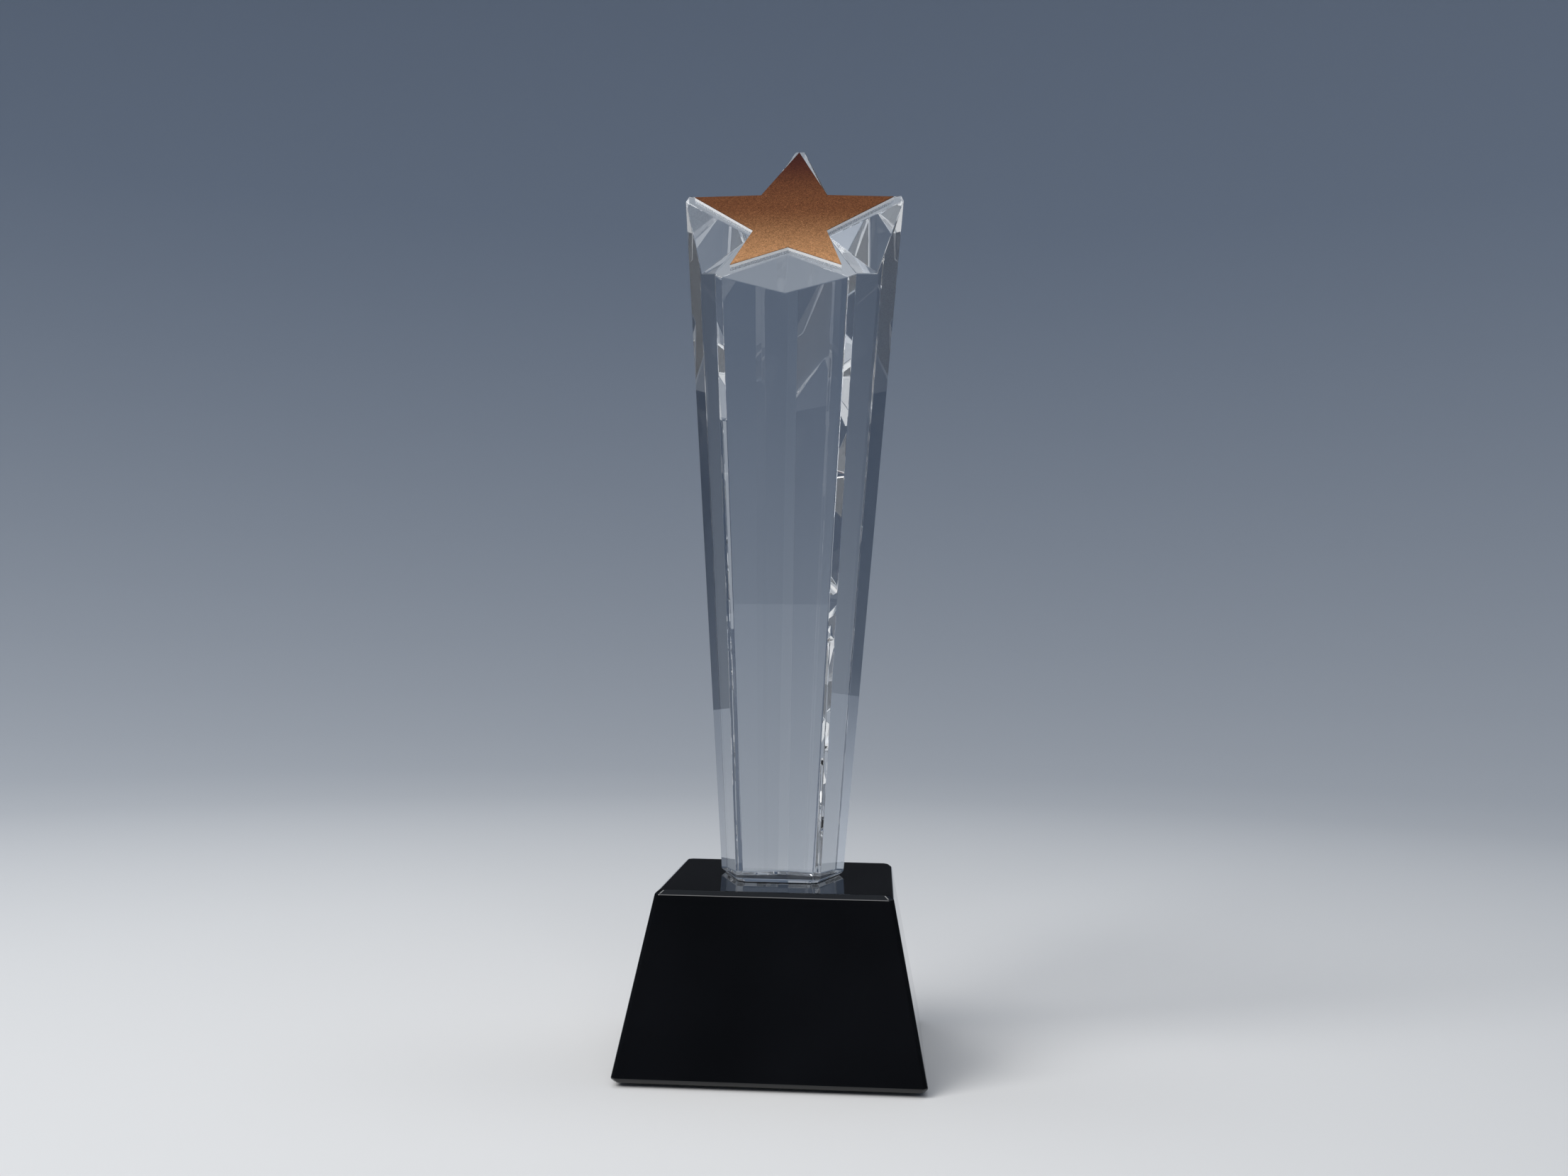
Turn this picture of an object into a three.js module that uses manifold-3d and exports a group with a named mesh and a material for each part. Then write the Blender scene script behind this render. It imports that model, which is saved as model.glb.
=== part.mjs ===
// Star trophy: a tapered five-sided crystal column glued on a black crystal base.
// The column's top is cut on a slant and notched into a five-pointed star, and a bronze-faced
// star plate lies on it. Units are millimetres, +Z is up, the front is -Y, and the origin is
// the middle of the footprint on the surface that the trophy stands on.
import * as THREE from 'three';
import { ConvexGeometry } from 'three/addons/geometries/ConvexGeometry.js';
import { mergeVertices } from 'three/addons/utils/BufferGeometryUtils.js';
import Module from 'manifold-3d';

// ---- driving dimensions ----
const TOTAL_HEIGHT = 248;

const PAD_RADIUS = 4;
const PAD_HEIGHT = 1;
const PAD_ROUNDING = 0.3;
const PAD_EDGE_DISTANCE = 7.5; // pad centre to the sides of the base's underside

const BASE_BOTTOM_WIDTH = 75;
const BASE_TOP_WIDTH = 57.5;
const BASE_HEIGHT = 44;
const BASE_BEVEL = 1;

const BOND_THICKNESS = 0.15; // clear adhesive between column and base
const BOND_INSET = 0.3; // the adhesive stops this far inside the column's underside

const COLUMN_FOOT_RADIUS = 17.3; // axis to a sharp corner of the five-sided section
const COLUMN_FLARE = 0.08; // growth of that radius per millimetre of height
const COLUMN_BLANK_TOP = 270; // the uncut column reaches above its slanted end
const CORNER_FLAT = 2.4; // width of the polished flat along each corner
const FOOT_BEVEL = 0.8;

const STAR_SLOPE = THREE.MathUtils.degToRad(42.5); // the star faces forwards and up
const NOTCH_MARGIN = 0.5; // crystal left showing round the plate at each inner vertex
// Height of each notch's lowest point, which lies on the middle of a side of the column.
const NOTCH_BOTTOM = { front: 192.3, side: 201.5, rear: 220 };

// The star plate is a pale backing with a thin bronze face. Glue lines are left empty.
const BACKING_LIFT = 0.3;
const BACKING_THICKNESS = 1.2;
const FACE_LIFT = 0.1;
const FACE_THICKNESS = 0.2;

// Right half of the plate's outline seen from above, rear tip first: x, y.
const PLATE_HALF = [[0, 29.5], [9, 8.4], [27, 7.6], [9.6, -7.3], [14, -21.4], [0, -14.3]];

// ---- derived places ----
const SIDES = 5;
const TURN = (2 * Math.PI) / SIDES;
const REAR_CORNER = Math.PI / 2;
const BASE_TOP = PAD_HEIGHT + BASE_HEIGHT;
const COLUMN_FOOT = BASE_TOP + BOND_THICKNESS;
const HALF_CORNER = (Math.PI - TURN) / 2; // half of the section's inner corner angle
const CORNER_DEPTH = CORNER_FLAT / 2 / Math.tan(HALF_CORNER); // sharp corner to its flat
const CORNER_RUN = CORNER_FLAT / 2 / Math.sin(HALF_CORNER); // sharp corner to a flat's edge
const STAR_RISE = Math.tan(STAR_SLOPE);
const STAR_AT_AXIS = TOTAL_HEIGHT - STAR_RISE * (columnRadius(TOTAL_HEIGHT) - CORNER_DEPTH);

const wasm = await Module();
wasm.setup();

function columnRadius(z) {
  return COLUMN_FOOT_RADIUS + COLUMN_FLARE * (z - BASE_TOP);
}

function starHeight(y) {
  return STAR_AT_AXIS + STAR_RISE * y;
}

// ---- solids ----
function toSolid(geometry) {
  const bare = geometry.clone();
  bare.deleteAttribute('normal');
  bare.deleteAttribute('uv');
  const merged = mergeVertices(bare, 1e-5);
  const vertProperties = new Float32Array(merged.attributes.position.array);
  const triVerts = new Uint32Array(merged.index.array);
  return new wasm.Manifold(new wasm.Mesh({ numProp: 3, vertProperties, triVerts }));
}

function toGeometry(solid) {
  const mesh = solid.getMesh();
  const geometry = new THREE.BufferGeometry();
  geometry.setAttribute('position', new THREE.BufferAttribute(mesh.vertProperties, 3));
  geometry.setIndex(new THREE.BufferAttribute(mesh.triVerts, 1));
  const faceted = geometry.toNonIndexed();
  faceted.computeVertexNormals();
  return faceted;
}

// One convex body through the corners of some level outlines, each { z, points }.
function hullOf(levels) {
  const corners = levels.flatMap(({ z, points }) => points.map(([x, y]) => new THREE.Vector3(x, y, z)));
  return new ConvexGeometry(corners);
}

function part(name, geometry, color, roughness, metalness, extra = {}) {
  const material = new THREE.MeshStandardMaterial({ color, roughness, metalness, ...extra });
  const mesh = new THREE.Mesh(geometry, material);
  mesh.name = name;
  return mesh;
}

// ---- black base: a square frustum with every edge bevelled ----
function bevelledSquare(width, bevel) {
  const half = width / 2;
  const cut = half - bevel;
  const quarter = [[half, -cut], [half, cut]];
  return [0, 1, 2, 3].flatMap((i) => quarter.map(([x, y]) => rotated(x, y, (i * Math.PI) / 2)));
}

function rotated(x, y, angle) {
  const cos = Math.cos(angle);
  const sin = Math.sin(angle);
  return [x * cos - y * sin, x * sin + y * cos];
}

function baseWidth(z) {
  return BASE_BOTTOM_WIDTH + ((BASE_TOP_WIDTH - BASE_BOTTOM_WIDTH) * (z - PAD_HEIGHT)) / BASE_HEIGHT;
}

function baseLevel(z, inset) {
  return { z, points: bevelledSquare(baseWidth(z) - 2 * inset, BASE_BEVEL) };
}

function blackBase() {
  return hullOf([
    baseLevel(PAD_HEIGHT, BASE_BEVEL),
    baseLevel(PAD_HEIGHT + BASE_BEVEL, 0),
    baseLevel(BASE_TOP - BASE_BEVEL, 0),
    baseLevel(BASE_TOP, BASE_BEVEL),
  ]);
}

// ---- foot pads: low discs with a rounded lower rim ----
function footPad() {
  const profile = new THREE.Path();
  profile.moveTo(0, 0);
  profile.lineTo(PAD_RADIUS - PAD_ROUNDING, 0);
  profile.absarc(PAD_RADIUS - PAD_ROUNDING, PAD_ROUNDING, PAD_ROUNDING, -Math.PI / 2, 0, false);
  profile.lineTo(PAD_RADIUS, PAD_HEIGHT);
  profile.lineTo(0, PAD_HEIGHT);
  return new THREE.LatheGeometry(profile.getPoints(4), 32).rotateX(Math.PI / 2);
}

// ---- crystal column ----
// Unit vector from the axis to a corner of the section. Corner 0 is the rear one.
function cornerDirection(i) {
  const angle = REAR_CORNER + i * TURN;
  return new THREE.Vector3(Math.cos(angle), Math.sin(angle), 0);
}

// Section at one height: five sides, each corner cut by a flat of constant width.
function columnSection(z, inset = 0) {
  const radius = columnRadius(z) - inset / Math.sin(HALF_CORNER);
  const points = [];
  for (let i = 0; i < SIDES; i++) {
    for (const neighbour of [i - 1, i + 1]) {
      const along = cornerDirection(neighbour).sub(cornerDirection(i)).setLength(CORNER_RUN);
      const { x, y } = cornerDirection(i).multiplyScalar(radius).add(along);
      points.push([x, y]);
    }
  }
  return points;
}

// Everything above the slanted plane on which the star is cut.
function aboveStar() {
  const size = 4 * TOTAL_HEIGHT;
  const block = new THREE.BoxGeometry(size, size, size).translate(0, 0, size / 2);
  return toSolid(block.rotateX(STAR_SLOPE).translate(0, 0, STAR_AT_AXIS));
}

// Where the star plane meets the edge of a corner flat, on the side from corner `from` to `to`.
// The column's radius and the star plane are both linear in height, so one division finds it.
function starCorner(from, to) {
  const outward = cornerDirection(from);
  const along = cornerDirection(to).sub(outward).setLength(CORNER_RUN);
  const z = starHeight(columnRadius(0) * outward.y + along.y) / (1 - STAR_RISE * COLUMN_FLARE * outward.y);
  return outward.multiplyScalar(columnRadius(z)).add(along).setZ(z);
}

// A notch is a V groove: two planes that meet in a valley. The valley runs from the star's
// inner vertex to the lowest point, on the middle of the column's side.
function notch(side, inner, bottomHeight) {
  const middle = REAR_CORNER + (side + 0.5) * TURN;
  const reach = columnRadius(bottomHeight) * Math.cos(TURN / 2);
  const bottom = new THREE.Vector3(reach * Math.cos(middle), reach * Math.sin(middle), bottomHeight);
  const outward = new THREE.Vector3(Math.cos(middle), Math.sin(middle), 0);
  const start = new THREE.Vector3(inner[0], inner[1], 0).addScaledVector(outward, NOTCH_MARGIN);
  start.z = starHeight(start.y);
  const valley = bottom.clone().sub(start).normalize();
  const length = TOTAL_HEIGHT / 2;
  const ends = [start.clone().addScaledVector(valley, -length), start.clone().addScaledVector(valley, length)];
  const edges = [starCorner(side, side + 1), starCorner(side + 1, side)].map((p) => p.sub(start).normalize());
  const corners = ends.flatMap((end) => [
    end,
    ...edges.map((edge) => end.clone().addScaledVector(edge, length)),
  ]);
  return toSolid(new ConvexGeometry(corners));
}

function crystalColumn() {
  const blank = hullOf([
    { z: COLUMN_FOOT, points: columnSection(COLUMN_FOOT, FOOT_BEVEL) },
    { z: COLUMN_FOOT + FOOT_BEVEL, points: columnSection(COLUMN_FOOT + FOOT_BEVEL) },
    { z: COLUMN_BLANK_TOP, points: columnSection(COLUMN_BLANK_TOP) },
  ]);
  const [, upper, , lower, , front] = PLATE_HALF;
  const mirror = ([x, y]) => [-x, y];
  const notches = [
    [0, mirror(upper), NOTCH_BOTTOM.rear],
    [1, mirror(lower), NOTCH_BOTTOM.side],
    [2, front, NOTCH_BOTTOM.front],
    [3, lower, NOTCH_BOTTOM.side],
    [4, upper, NOTCH_BOTTOM.rear],
  ];
  return notches.reduce(
    (body, [side, inner, bottom]) => body.subtract(notch(side, inner, bottom)),
    toSolid(blank).subtract(aboveStar()),
  );
}

// ---- adhesive between column and base ----
function columnBond() {
  const outline = columnSection(COLUMN_FOOT, FOOT_BEVEL + BOND_INSET);
  return hullOf([{ z: BASE_TOP, points: outline }, { z: COLUMN_FOOT, points: outline }]);
}

// ---- star plate: its layers are extruded in the star's own plane, which is then tilted ----
function starLayer(thickness) {
  const leftHalf = PLATE_HALF.slice(1, -1).reverse().map(([x, y]) => [-x, y]);
  const stretch = 1 / Math.cos(STAR_SLOPE);
  const outline = [...PLATE_HALF, ...leftHalf].map(([x, y]) => new THREE.Vector2(x, y * stretch));
  const shape = new THREE.Shape(outline);
  return new THREE.ExtrudeGeometry(shape, { depth: thickness, bevelEnabled: false });
}

// ---- assembly ----
const trophy = new THREE.Group();

trophy.add(part('black_base', blackBase(), 0x05060a, 0.04, 0));

const padReach = BASE_BOTTOM_WIDTH / 2 - BASE_BEVEL - PAD_EDGE_DISTANCE;
[[-1, -1], [1, -1], [1, 1], [-1, 1]].forEach(([sx, sy], i) => {
  const pad = part(`foot_pad_${i + 1}`, footPad(), 0x2b2c2e, 0.8, 0);
  pad.position.set(sx * padReach, sy * padReach, 0);
  trophy.add(pad);
});

const glass = { transparent: true, opacity: 0.45 };
trophy.add(part('column_bond', columnBond(), 0xf4f6f8, 0.2, 0, glass));
trophy.add(part('crystal_column', toGeometry(crystalColumn()), 0xf2f8ff, 0.02, 0, glass));

const starFrame = new THREE.Group();
starFrame.position.z = STAR_AT_AXIS;
starFrame.rotation.x = STAR_SLOPE;
const backing = part('star_backing', starLayer(BACKING_THICKNESS), 0xd9cdc0, 0.3, 0);
backing.position.z = BACKING_LIFT;
const face = part('star_face', starLayer(FACE_THICKNESS), 0xa67a52, 0.45, 0.8);
face.position.z = BACKING_LIFT + BACKING_THICKNESS + FACE_LIFT;
starFrame.add(backing, face);
trophy.add(starFrame);

export default trophy;
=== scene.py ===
"""Star trophy: looks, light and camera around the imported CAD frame. Metres, +Z up, front -Y."""
import math

import bmesh
import bpy
from mathutils import Matrix, Vector


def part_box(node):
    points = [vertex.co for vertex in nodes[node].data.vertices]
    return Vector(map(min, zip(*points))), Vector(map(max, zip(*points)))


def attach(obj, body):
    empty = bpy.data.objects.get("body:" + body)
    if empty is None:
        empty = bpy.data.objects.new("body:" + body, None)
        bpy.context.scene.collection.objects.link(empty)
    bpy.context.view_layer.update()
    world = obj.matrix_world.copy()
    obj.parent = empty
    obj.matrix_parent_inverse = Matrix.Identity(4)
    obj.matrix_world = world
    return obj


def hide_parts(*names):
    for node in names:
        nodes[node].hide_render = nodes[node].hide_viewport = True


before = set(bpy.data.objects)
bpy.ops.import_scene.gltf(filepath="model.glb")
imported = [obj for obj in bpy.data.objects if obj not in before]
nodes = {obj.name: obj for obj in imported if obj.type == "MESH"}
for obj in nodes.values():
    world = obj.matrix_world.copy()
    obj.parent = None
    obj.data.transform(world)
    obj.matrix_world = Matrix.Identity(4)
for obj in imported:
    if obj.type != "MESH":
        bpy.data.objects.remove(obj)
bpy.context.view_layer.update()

# The camera's place and turn relative to the trophy, as the photograph was taken.
CAMERA_PLACE = (0.0241, -0.3789, 0.1012)
CAMERA_PITCH = math.radians(2.82)
CAMERA_ROLL = math.radians(-0.93)
CAMERA_YAW = math.radians(3.72)
SENSOR_MM = 36
LENS_MM = 33.2  # the photograph's own view, cropped about 1.45 times closer

# The studio is a shallow round bowl: a flat floor that sweeps up into a wall on every side.
FLOOR_RADIUS = 0.7
SWEEP_RADIUS = 1.5
SWEEP_STEPS = 16
WALL_TOP = 2.2
COLLAR_RADIUS = 0.95
COLLAR_LEVELS = (0.03, 0.75)
ROUND_STEPS = 96
SKY_COLOR = (0.72, 0.80, 0.92, 1)
SKY_STRENGTH = 0.4
LIGHT_TARGET = (0, 0, 0.13)  # about the trophy's middle

# A polished prism sends light round inside itself many times before it gets out.
GLASS_BOUNCES = 40

# How far a bonded piece is pressed into its neighbour, so that no air gap is left between them.
EMBED = 0.00003

# Rounded arrises: their widths, the sharpest bend that counts as flat, and the reach of the weld
# that joins the CAD faces' separate corners before rounding.
COLUMN_ARRIS = 0.00018
BASE_ARRIS = 0.00025
FACE_ARRIS = 0.00004
ARRIS_SEGMENTS = 2
ARRIS_ANGLE = math.radians(8)
WELD_REACH = 0.000002

# Densities of the procedural patterns, per metre.
FLAKE_SCALE = 4200.0
MOTTLE_SCALE = 1100


# ---- shader helpers ----
def new_material(name):
    material = bpy.data.materials.new(name)
    material.use_nodes = True
    tree = material.node_tree
    tree.nodes.clear()
    output = tree.nodes.new("ShaderNodeOutputMaterial")
    shader = tree.nodes.new("ShaderNodeBsdfPrincipled")
    tree.links.new(shader.outputs["BSDF"], output.inputs["Surface"])
    return material, tree, shader


def add(tree, kind, inputs=None, **settings):
    """A node with its properties and input values set. An input given as a socket is linked."""
    node = tree.nodes.new(kind)
    for key, value in settings.items():
        setattr(node, key, value)
    for key, value in (inputs or {}).items():
        if isinstance(value, bpy.types.NodeSocket):
            tree.links.new(value, node.inputs[key])
        else:
            node.inputs[key].default_value = value
    return node


def ramp(tree, factor, stops, interpolation="LINEAR"):
    node = add(tree, "ShaderNodeValToRGB", {"Fac": factor})
    node.color_ramp.interpolation = interpolation
    elements = node.color_ramp.elements
    while len(elements) < len(stops):
        elements.new(0.5)
    for element, (position, color) in zip(elements, stops):
        element.position = position
        element.color = color
    return node.outputs["Color"]


def grey(value):
    return (value, value, value, 1)


def place(tree):
    return tree.nodes.new("ShaderNodeTexCoord").outputs["Object"]


def noise(tree, scale, detail, roughness=0.5):
    inputs = {"Scale": scale, "Detail": detail, "Roughness": roughness, "Vector": place(tree)}
    return add(tree, "ShaderNodeTexNoise", inputs).outputs["Fac"]


def multiply(tree, one, two):
    """The product of two colours. A Mix node's colour sockets are inputs 6 and 7, output 2."""
    inputs = {0: 1.0, 6: one, 7: two}
    mix = add(tree, "ShaderNodeMix", inputs, data_type="RGBA", blend_type="MULTIPLY")
    return mix.outputs[2]


# ---- materials ----
def clear_crystal():
    material, tree, shader = new_material("clear_crystal")
    shader.inputs["Base Color"].default_value = (0.985, 0.995, 1.0, 1)
    shader.inputs["IOR"].default_value = 1.52
    shader.inputs["Transmission Weight"].default_value = 1.0
    haze = noise(tree, 60, 3)
    low, high = grey(0.0), grey(0.012)
    tree.links.new(ramp(tree, haze, [(0.45, low), (0.8, high)]), shader.inputs["Roughness"])
    return material


def black_crystal():
    material, tree, shader = new_material("black_crystal")
    depth = noise(tree, 25, 2)
    tone = ramp(tree, depth, [(0.3, (0.0025, 0.0028, 0.0035, 1)), (0.8, (0.005, 0.0055, 0.007, 1))])
    tree.links.new(tone, shader.inputs["Base Color"])
    shader.inputs["IOR"].default_value = 1.55
    wipe = noise(tree, 90, 4, 0.6)
    gloss = ramp(tree, wipe, [(0.4, grey(0.015)), (0.85, grey(0.06))])
    tree.links.new(gloss, shader.inputs["Roughness"])
    return material


def bronze():
    """Fine metal flakes in a bronze finish, darkened by painted shade from the front points to the
    rear point.
    """
    material, tree, shader = new_material("bronze")
    point = place(tree)
    low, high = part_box("star_face")
    height = add(tree, "ShaderNodeSeparateXYZ", {"Vector": point}).outputs["Z"]
    rise = add(tree, "ShaderNodeMapRange", {
        "Value": height, "From Min": low.z, "From Max": high.z,
    }).outputs["Result"]
    # Painted shade: the bronze colour is real, but its darkening from the front points up to the
    # rear point stands in for shade.
    bronze_and_painted_shade = ramp(tree, rise, [
        (0.0, (0.345, 0.19, 0.095, 1)),
        (0.5, (0.115, 0.050, 0.025, 1)),
        (1.0, (0.034, 0.012, 0.009, 1)),
    ], "EASE")
    flakes = add(tree, "ShaderNodeTexVoronoi", {"Vector": point, "Scale": FLAKE_SCALE})
    flake = add(tree, "ShaderNodeSeparateColor", {"Color": flakes.outputs["Color"]})
    cloud = noise(tree, MOTTLE_SCALE, 3, 0.6)
    speckle = ramp(tree, flake.outputs["Red"], [
        (0.0, grey(0.62)),
        (0.6, grey(1.0)),
        (1.0, grey(1.35)),
    ])
    mottle = ramp(tree, cloud, [(0.3, grey(0.86)), (0.7, grey(1.12))])
    tone = multiply(tree, bronze_and_painted_shade, multiply(tree, speckle, mottle))
    tree.links.new(tone, shader.inputs["Base Color"])
    shader.inputs["Metallic"].default_value = 0.7
    shader.inputs["Specular IOR Level"].default_value = 0.15
    shader.inputs["Specular Tint"].default_value = (0.55, 0.30, 0.20, 1)
    rough = ramp(tree, flake.outputs["Green"], [(0.0, grey(0.32)), (1.0, grey(0.58))])
    tree.links.new(rough, shader.inputs["Roughness"])
    bump = add(tree, "ShaderNodeBump", {
        "Strength": 0.4,
        "Distance": 0.0001,
        "Height": flake.outputs["Blue"],
    })
    tree.links.new(bump.outputs["Normal"], shader.inputs["Normal"])
    return material


def star_edge(low, high, normal):
    """Clear acrylic with a frosted cut edge, and an opaque white line just under the bronze."""
    material, tree, shader = new_material("star_edge")
    level = add(tree, "ShaderNodeVectorMath", {0: place(tree), 1: normal}, operation="DOT_PRODUCT")
    depth = add(tree, "ShaderNodeMapRange", {
        "Value": level.outputs["Value"], "From Min": low, "From Max": high,
    }).outputs["Result"]
    white, clear = (0.95, 0.94, 0.93, 1), (0.84, 0.89, 0.95, 1)
    tone = ramp(tree, depth, [(0.0, clear), (0.50, clear), (0.56, white), (1.0, white)])
    tree.links.new(tone, shader.inputs["Base Color"])
    milky, solid = grey(0.45), grey(0.0)
    through = ramp(tree, depth, [(0.0, milky), (0.50, milky), (0.56, solid), (1.0, solid)])
    tree.links.new(through, shader.inputs["Transmission Weight"])
    frost = noise(tree, 2500, 3)
    rough = ramp(tree, frost, [(0.3, grey(0.18)), (0.8, grey(0.42))])
    tree.links.new(rough, shader.inputs["Roughness"])
    shader.inputs["IOR"].default_value = 1.49
    return material


def adhesive():
    """Cured clear glue. The black base shows through it, with a few pale blooms."""
    material, tree, shader = new_material("adhesive")
    bloom = noise(tree, 260, 4, 0.6)
    tone = ramp(tree, bloom, [
        (0.45, (0.004, 0.0045, 0.006, 1)),
        (0.75, (0.03, 0.033, 0.04, 1)),
    ])
    tree.links.new(tone, shader.inputs["Base Color"])
    shader.inputs["Roughness"].default_value = 0.25
    shader.inputs["IOR"].default_value = 1.1
    return material


def pad_rubber():
    material, tree, shader = new_material("pad_rubber")
    speck = noise(tree, 1500, 5, 0.6)
    tone = ramp(tree, speck, [(0.3, (0.018, 0.018, 0.02, 1)), (0.8, (0.045, 0.045, 0.048, 1))])
    tree.links.new(tone, shader.inputs["Base Color"])
    rough = ramp(tree, speck, [(0.3, grey(0.65)), (0.8, grey(0.85))])
    tree.links.new(rough, shader.inputs["Roughness"])
    bump = add(tree, "ShaderNodeBump", {"Strength": 0.5, "Distance": 0.00015, "Height": speck})
    tree.links.new(bump.outputs["Normal"], shader.inputs["Normal"])
    return material


def give(node, material):
    data = nodes[node].data
    data.materials.clear()
    data.materials.append(material)


def soften_edges(node, width):
    """A small rounded arris, as grinding and polishing leaves it. The faces are joined up first."""
    weld = nodes[node].modifiers.new("joined_faces", "WELD")
    weld.merge_threshold = WELD_REACH
    bevel = nodes[node].modifiers.new("arris", "BEVEL")
    bevel.width = width
    bevel.segments = ARRIS_SEGMENTS
    bevel.limit_method = "ANGLE"
    bevel.angle_limit = ARRIS_ANGLE


def flat_shading(node):
    for polygon in nodes[node].data.polygons:
        polygon.use_smooth = False


# ---- pieces that replace CAD solids ----
def star_normal():
    """The star plane's outward normal, from the bronze face's largest flat."""
    flats = nodes["star_face"].data.polygons
    widest = max(flats, key=lambda polygon: polygon.area * (polygon.normal.z > 0))
    return widest.normal.copy()


def copy_of(node, name, mover):
    """A new piece shaped like a CAD node, with each vertex passed through mover."""
    data = nodes[node].data.copy()
    data.name = name
    for vertex in data.vertices:
        vertex.co = mover(vertex.co)
    piece = bpy.data.objects.new(name, data)
    bpy.context.scene.collection.objects.link(piece)
    data.materials.clear()
    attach(piece, "root")
    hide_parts(node)
    return piece


def heights_along(node, normal):
    levels = [vertex.co.dot(normal) for vertex in nodes[node].data.vertices]
    return min(levels), max(levels)


def bonded_backing(normal):
    """The star backing with its glue lines filled. It is pressed into the crystal under it."""
    low, high = heights_along("star_backing", normal)
    face_low, _ = heights_along("star_face", normal)
    crystal_top = max(
        polygon.center.dot(normal)
        for polygon in nodes["crystal_column"].data.polygons
        if polygon.normal.dot(normal) > 0.999
    )

    def stretch(point):
        level = point.dot(normal)
        goal = crystal_top - EMBED if level < (low + high) / 2 else face_low + EMBED / 3
        return point + normal * (goal - level)

    piece = copy_of("star_backing", "star_backing_bonded", stretch)
    piece.data.materials.append(star_edge(crystal_top, face_low, normal))
    return piece


def bond_film():
    """The adhesive, pressed a hair into both the crystal and the base."""
    low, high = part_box("column_bond")
    middle = (low.z + high.z) / 2

    def stretch(point):
        return Vector((point.x, point.y, point.z + (EMBED if point.z > middle else -EMBED)))

    piece = copy_of("column_bond", "column_bond_film", stretch)
    piece.data.materials.append(adhesive())
    return piece


give("crystal_column", clear_crystal())
give("black_base", black_crystal())
give("star_face", bronze())
bonded_backing(star_normal())
bond_film()
rubber = pad_rubber()
for number in range(1, 5):
    give(f"foot_pad_{number}", rubber)
for name in nodes:
    flat_shading(name)
soften_edges("crystal_column", COLUMN_ARRIS)
soften_edges("black_base", BASE_ARRIS)
soften_edges("star_face", FACE_ARRIS)


# ---- studio ----
def bowl():
    """Floor and wall as one surface of revolution, so that every view has a plain backdrop."""
    profile = [(0.0, 0.0), (FLOOR_RADIUS * 0.5, 0.0), (FLOOR_RADIUS, 0.0)]
    for step in range(1, SWEEP_STEPS + 1):
        angle = math.radians(90) * step / SWEEP_STEPS
        radius = FLOOR_RADIUS + SWEEP_RADIUS * math.sin(angle)
        profile.append((radius, SWEEP_RADIUS * (1 - math.cos(angle))))
    profile.append((FLOOR_RADIUS + SWEEP_RADIUS, WALL_TOP))
    mesh = bmesh.new()
    points = [mesh.verts.new((radius, 0, height)) for radius, height in profile]
    edges = [mesh.edges.new(ends) for ends in zip(points, points[1:])]
    bmesh.ops.spin(
        mesh, geom=points + edges, cent=(0, 0, 0), axis=(0, 0, 1),
        angle=math.radians(360), steps=ROUND_STEPS,
    )
    bmesh.ops.remove_doubles(mesh, verts=mesh.verts, dist=0.00001)
    data = bpy.data.meshes.new("studio_bowl")
    mesh.to_mesh(data)
    mesh.free()
    for polygon in data.polygons:
        polygon.use_smooth = True
    piece = bpy.data.objects.new("studio_bowl", data)
    bpy.context.scene.collection.objects.link(piece)
    material, tree, shader = new_material("studio_paper")
    distance = add(tree, "ShaderNodeVectorMath", {0: place(tree)}, operation="LENGTH")
    reach = add(tree, "ShaderNodeMapRange", {
        "Value": distance.outputs["Value"], "From Min": 0.0, "From Max": WALL_TOP,
    }).outputs["Result"]
    tone = ramp(tree, reach, [
        (0.0, (0.66, 0.66, 0.66, 1)),
        (0.12, (0.62, 0.63, 0.64, 1)),
        (0.40, (0.47, 0.50, 0.54, 1)),
        (1.0, (0.27, 0.32, 0.40, 1)),
    ])
    tree.links.new(tone, shader.inputs["Base Color"])
    shader.inputs["Roughness"].default_value = 0.9
    shader.inputs["Specular IOR Level"].default_value = 0.0
    data.materials.append(material)


def dark_collar():
    """A dark ring round the set that only mirror reflections see, so black glass stays black."""
    mesh = bmesh.new()
    for height in COLLAR_LEVELS:
        level = Matrix.Translation((0, 0, height))
        bmesh.ops.create_circle(mesh, radius=COLLAR_RADIUS, segments=ROUND_STEPS, matrix=level)
    bmesh.ops.bridge_loops(mesh, edges=mesh.edges[:])
    data = bpy.data.meshes.new("dark_collar")
    mesh.to_mesh(data)
    mesh.free()
    collar = bpy.data.objects.new("dark_collar", data)
    bpy.context.scene.collection.objects.link(collar)
    material, _, shader = new_material("black_card")
    shader.inputs["Base Color"].default_value = (0.010, 0.012, 0.016, 1)
    shader.inputs["Roughness"].default_value = 0.9
    data.materials.append(material)
    collar.visible_camera = False
    collar.visible_diffuse = False
    collar.visible_transmission = False
    collar.visible_shadow = False


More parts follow.
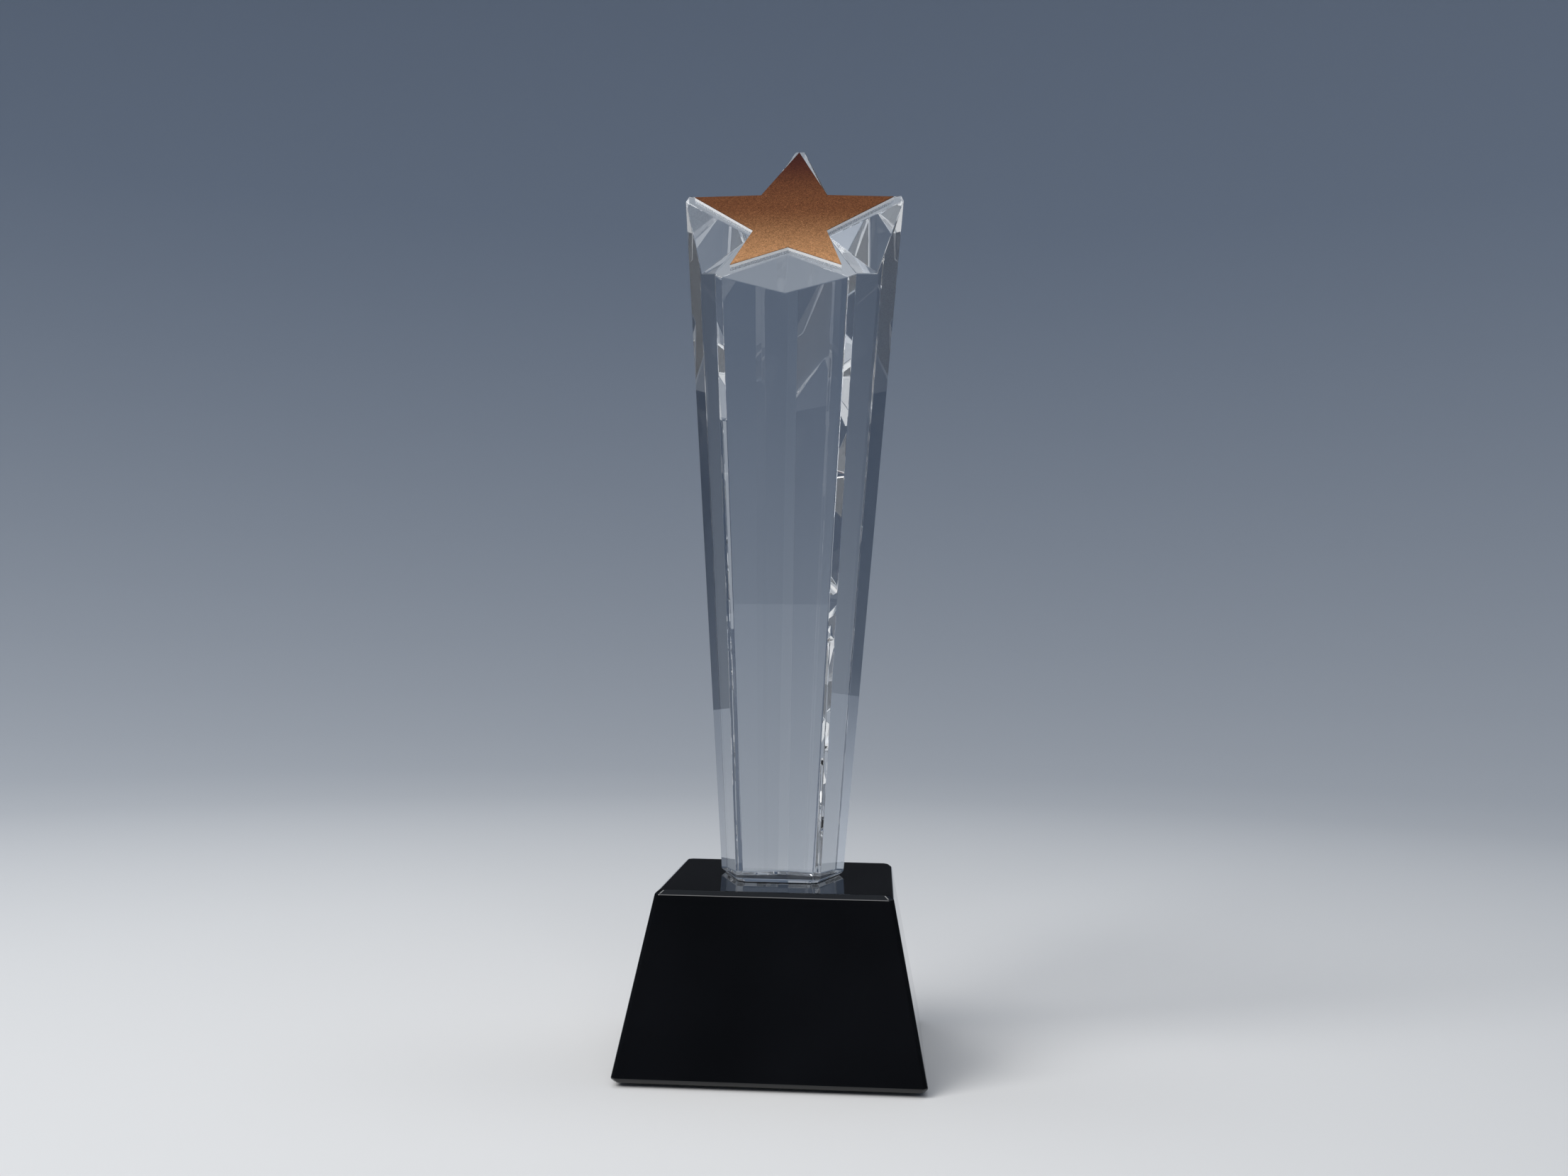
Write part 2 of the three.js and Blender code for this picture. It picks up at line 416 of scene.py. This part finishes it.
def softbox(name, place_at, target, size, power, color=(1, 1, 1), on_paper=True):
    """A rectangular light that glass doesn't show. With on_paper off, only mirrors show it."""
    light = bpy.data.lights.new(name, "AREA")
    light.shape = "RECTANGLE"
    light.size, light.size_y = size
    light.energy = power
    light.color = color
    holder = bpy.data.objects.new(name, light)
    holder.location = place_at
    aim = Vector(target) - Vector(place_at)
    holder.rotation_euler = aim.to_track_quat("-Z", "Y").to_euler()
    holder.visible_transmission = False
    holder.visible_diffuse = on_paper
    bpy.context.scene.collection.objects.link(holder)


def sky():
    world = bpy.data.worlds.new("studio")
    world.use_nodes = True
    background = world.node_tree.nodes["Background"]
    background.inputs["Color"].default_value = SKY_COLOR
    background.inputs["Strength"].default_value = SKY_STRENGTH
    bpy.context.scene.world = world


def camera():
    data = bpy.data.cameras.new("camera")
    data.sensor_width = SENSOR_MM
    data.lens = LENS_MM
    turn = (
        Matrix.Rotation(CAMERA_YAW, 4, "Z")
        @ Matrix.Rotation(CAMERA_PITCH, 4, "X")
        @ Matrix.Rotation(CAMERA_ROLL, 4, "Y")
    )
    forwards = Matrix.Rotation(math.radians(90), 4, "X")
    holder = bpy.data.objects.new("camera", data)
    holder.matrix_world = Matrix.Translation(CAMERA_PLACE) @ turn @ forwards
    bpy.context.scene.collection.objects.link(holder)
    bpy.context.scene.camera = holder


bowl()
dark_collar()
sky()
camera()
# Each light's place, target, width and height in metres, and power in watts.
softbox("key", (-0.75, -0.65, 1.05), LIGHT_TARGET, (0.8, 0.8), 16, (1.0, 0.98, 0.95))
softbox("strip", (0.66, -0.6, 0.34), LIGHT_TARGET, (0.16, 0.66), 2.5, (0.95, 0.97, 1.0), False)
softbox("overhead", (0.0, 0.2, 1.4), (0.0, 0.2, 0.0), (1.2, 0.3), 5)
softbox("front", (0.1, -1.05, 0.8), LIGHT_TARGET, (1.0, 0.4), 4)
scene = bpy.context.scene
scene.view_settings.view_transform = "Standard"
scene.cycles.max_bounces = GLASS_BOUNCES
scene.cycles.transmission_bounces = GLASS_BOUNCES
scene.cycles.glossy_bounces = GLASS_BOUNCES
